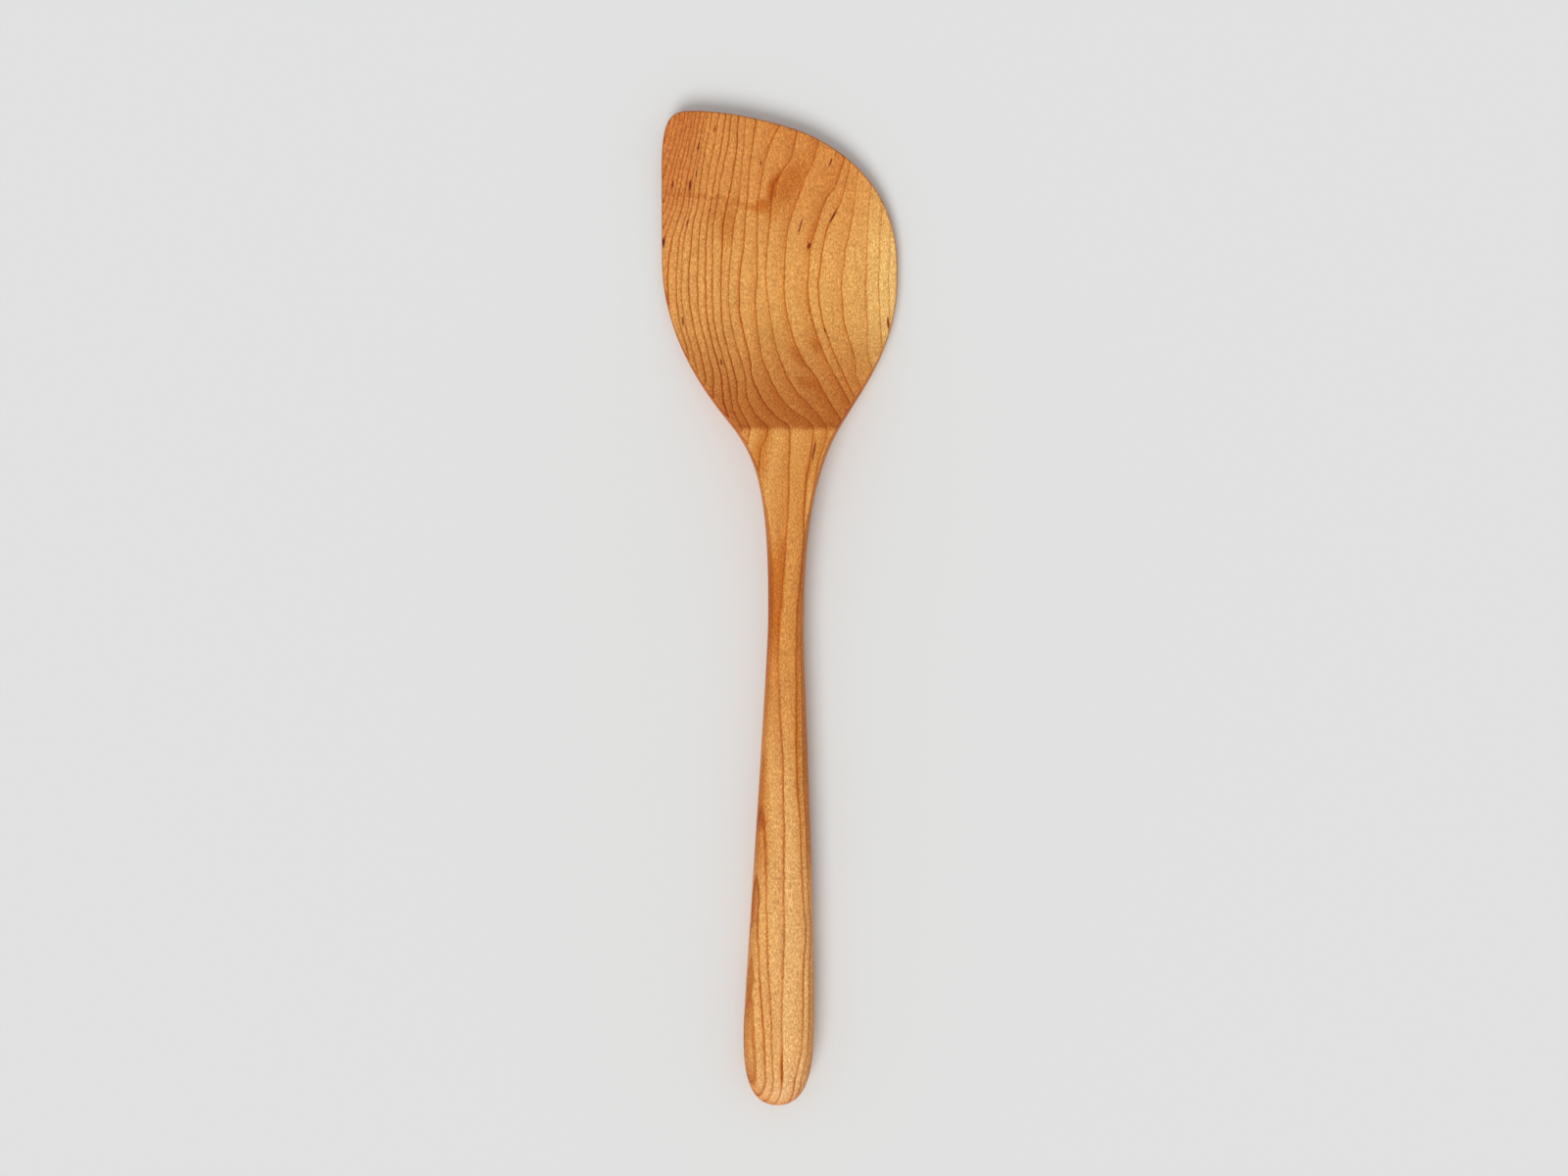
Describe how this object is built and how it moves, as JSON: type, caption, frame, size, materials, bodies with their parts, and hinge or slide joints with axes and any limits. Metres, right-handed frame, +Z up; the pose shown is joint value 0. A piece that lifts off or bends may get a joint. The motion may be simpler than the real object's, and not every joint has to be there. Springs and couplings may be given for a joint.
{
  "type": "wok spatula",
  "caption": "One-piece carved wooden wok spatula: dished blade with one square corner and a rounded side, a crisp crease, a waisted neck and an oval grip, for turning and scraping food.",
  "frame": {"origin": "middle of the outline in plan, at the height of the table that it lies on", "axes": "+Y from the grip to the blade's tip, +Z up through the blade's face, +X to the blade's rounded side"},
  "size_m": [0.081, 0.34, 0.0152],
  "materials": {
    "cherry_wood": "oiled, satin, fine sanded"
  },
  "bodies": {
    "root": {"spatula_body": "cherry_wood"}
  },
  "joints": []
}
